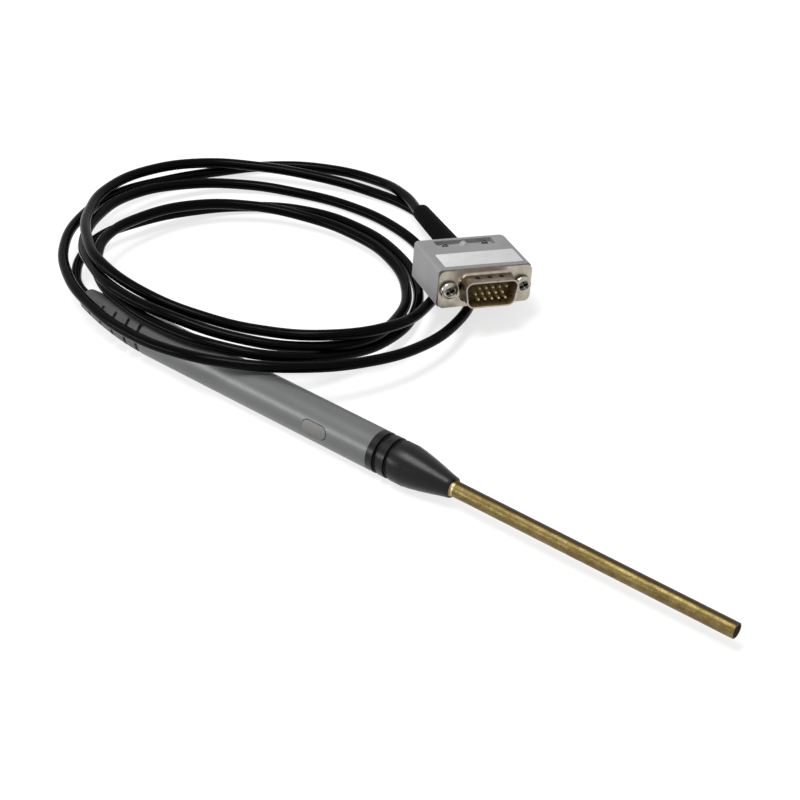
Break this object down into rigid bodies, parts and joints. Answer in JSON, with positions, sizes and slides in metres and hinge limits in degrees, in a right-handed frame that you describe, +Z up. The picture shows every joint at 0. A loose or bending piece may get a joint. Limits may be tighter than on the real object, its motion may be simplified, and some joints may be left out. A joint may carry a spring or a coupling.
{
  "type": "gaussmeter axial probe",
  "caption": "Hand-held axial Hall probe with a thin brass stem, black grooved nose, grey barrel with a push button, slotted strain relief and a coiled cord ending in a small D-shaped plug",
  "frame": {"origin": "Bottom centre of the probe's own box, without the cord and plug: half way along the probe, under the barrel's axis, on the surface that it lies on", "axes": "+X runs along the probe from the cord end to the stem's tip, +Z is up"},
  "size_m": [0.2811, 0.1336, 0.0231],
  "materials": {
    "brass_stem": "bare drawn brass, slightly mottled",
    "dark_resin": "dark potting resin",
    "black_chip": "moulded package",
    "carrier_film": "amber film strip",
    "bright_metal": "nickel plate",
    "black_plastic": "satin black moulding",
    "grey_plastic": "satin mid-grey moulding",
    "green_board": "solder-masked board",
    "pale_plastic": "pale grey moulding",
    "button_plastic": "smooth grey moulding",
    "grey_soft": "soft grey elastomer",
    "cord_jacket": "smooth black jacket",
    "boot_rubber": "matt black sleeve",
    "hood_plastic": "light grey moulding",
    "white_label": "blank white film label",
    "plated_shell": "warm tin plate",
    "black_insulator": "moulded contact block",
    "gold_pins": "gold flash"
  },
  "bodies": {
    "probe": {"probe_tube": "brass_stem", "tip_potting": "dark_resin", "hall_sensor": "black_chip", "sensor_carrier": "carrier_film", "stem_collar": "bright_metal", "nose_cone": "black_plastic", "handle_barrel": "grey_plastic", "handle_board": "green_board", "tact_switch": "black_chip", "tail_relief": "grey_soft", "cord_ferrule": "bright_metal", "cable": "cord_jacket", "cable_boot": "boot_rubber", "hood_shell": "hood_plastic", "hood_base": "hood_plastic", "window_pane": "pale_plastic", "hood_label": "white_label", "hood_screws": "bright_metal", "memory_board": "green_board", "front_shell": "plated_shell", "rear_shell": "plated_shell", "insulator": "black_insulator", "contact_pins": "gold_pins", "jack_screws": "bright_metal"},
    "button": {"push_button": "button_plastic", "switch_plunger": "pale_plastic"}
  },
  "joints": [
    {"name": "button_press", "type": "slide", "parent": "probe", "child": "button", "axis": [0, 0.9659, -0.2588], "range_m": [0, 0.0005], "stiffness_N_per_m": 600}
  ]
}
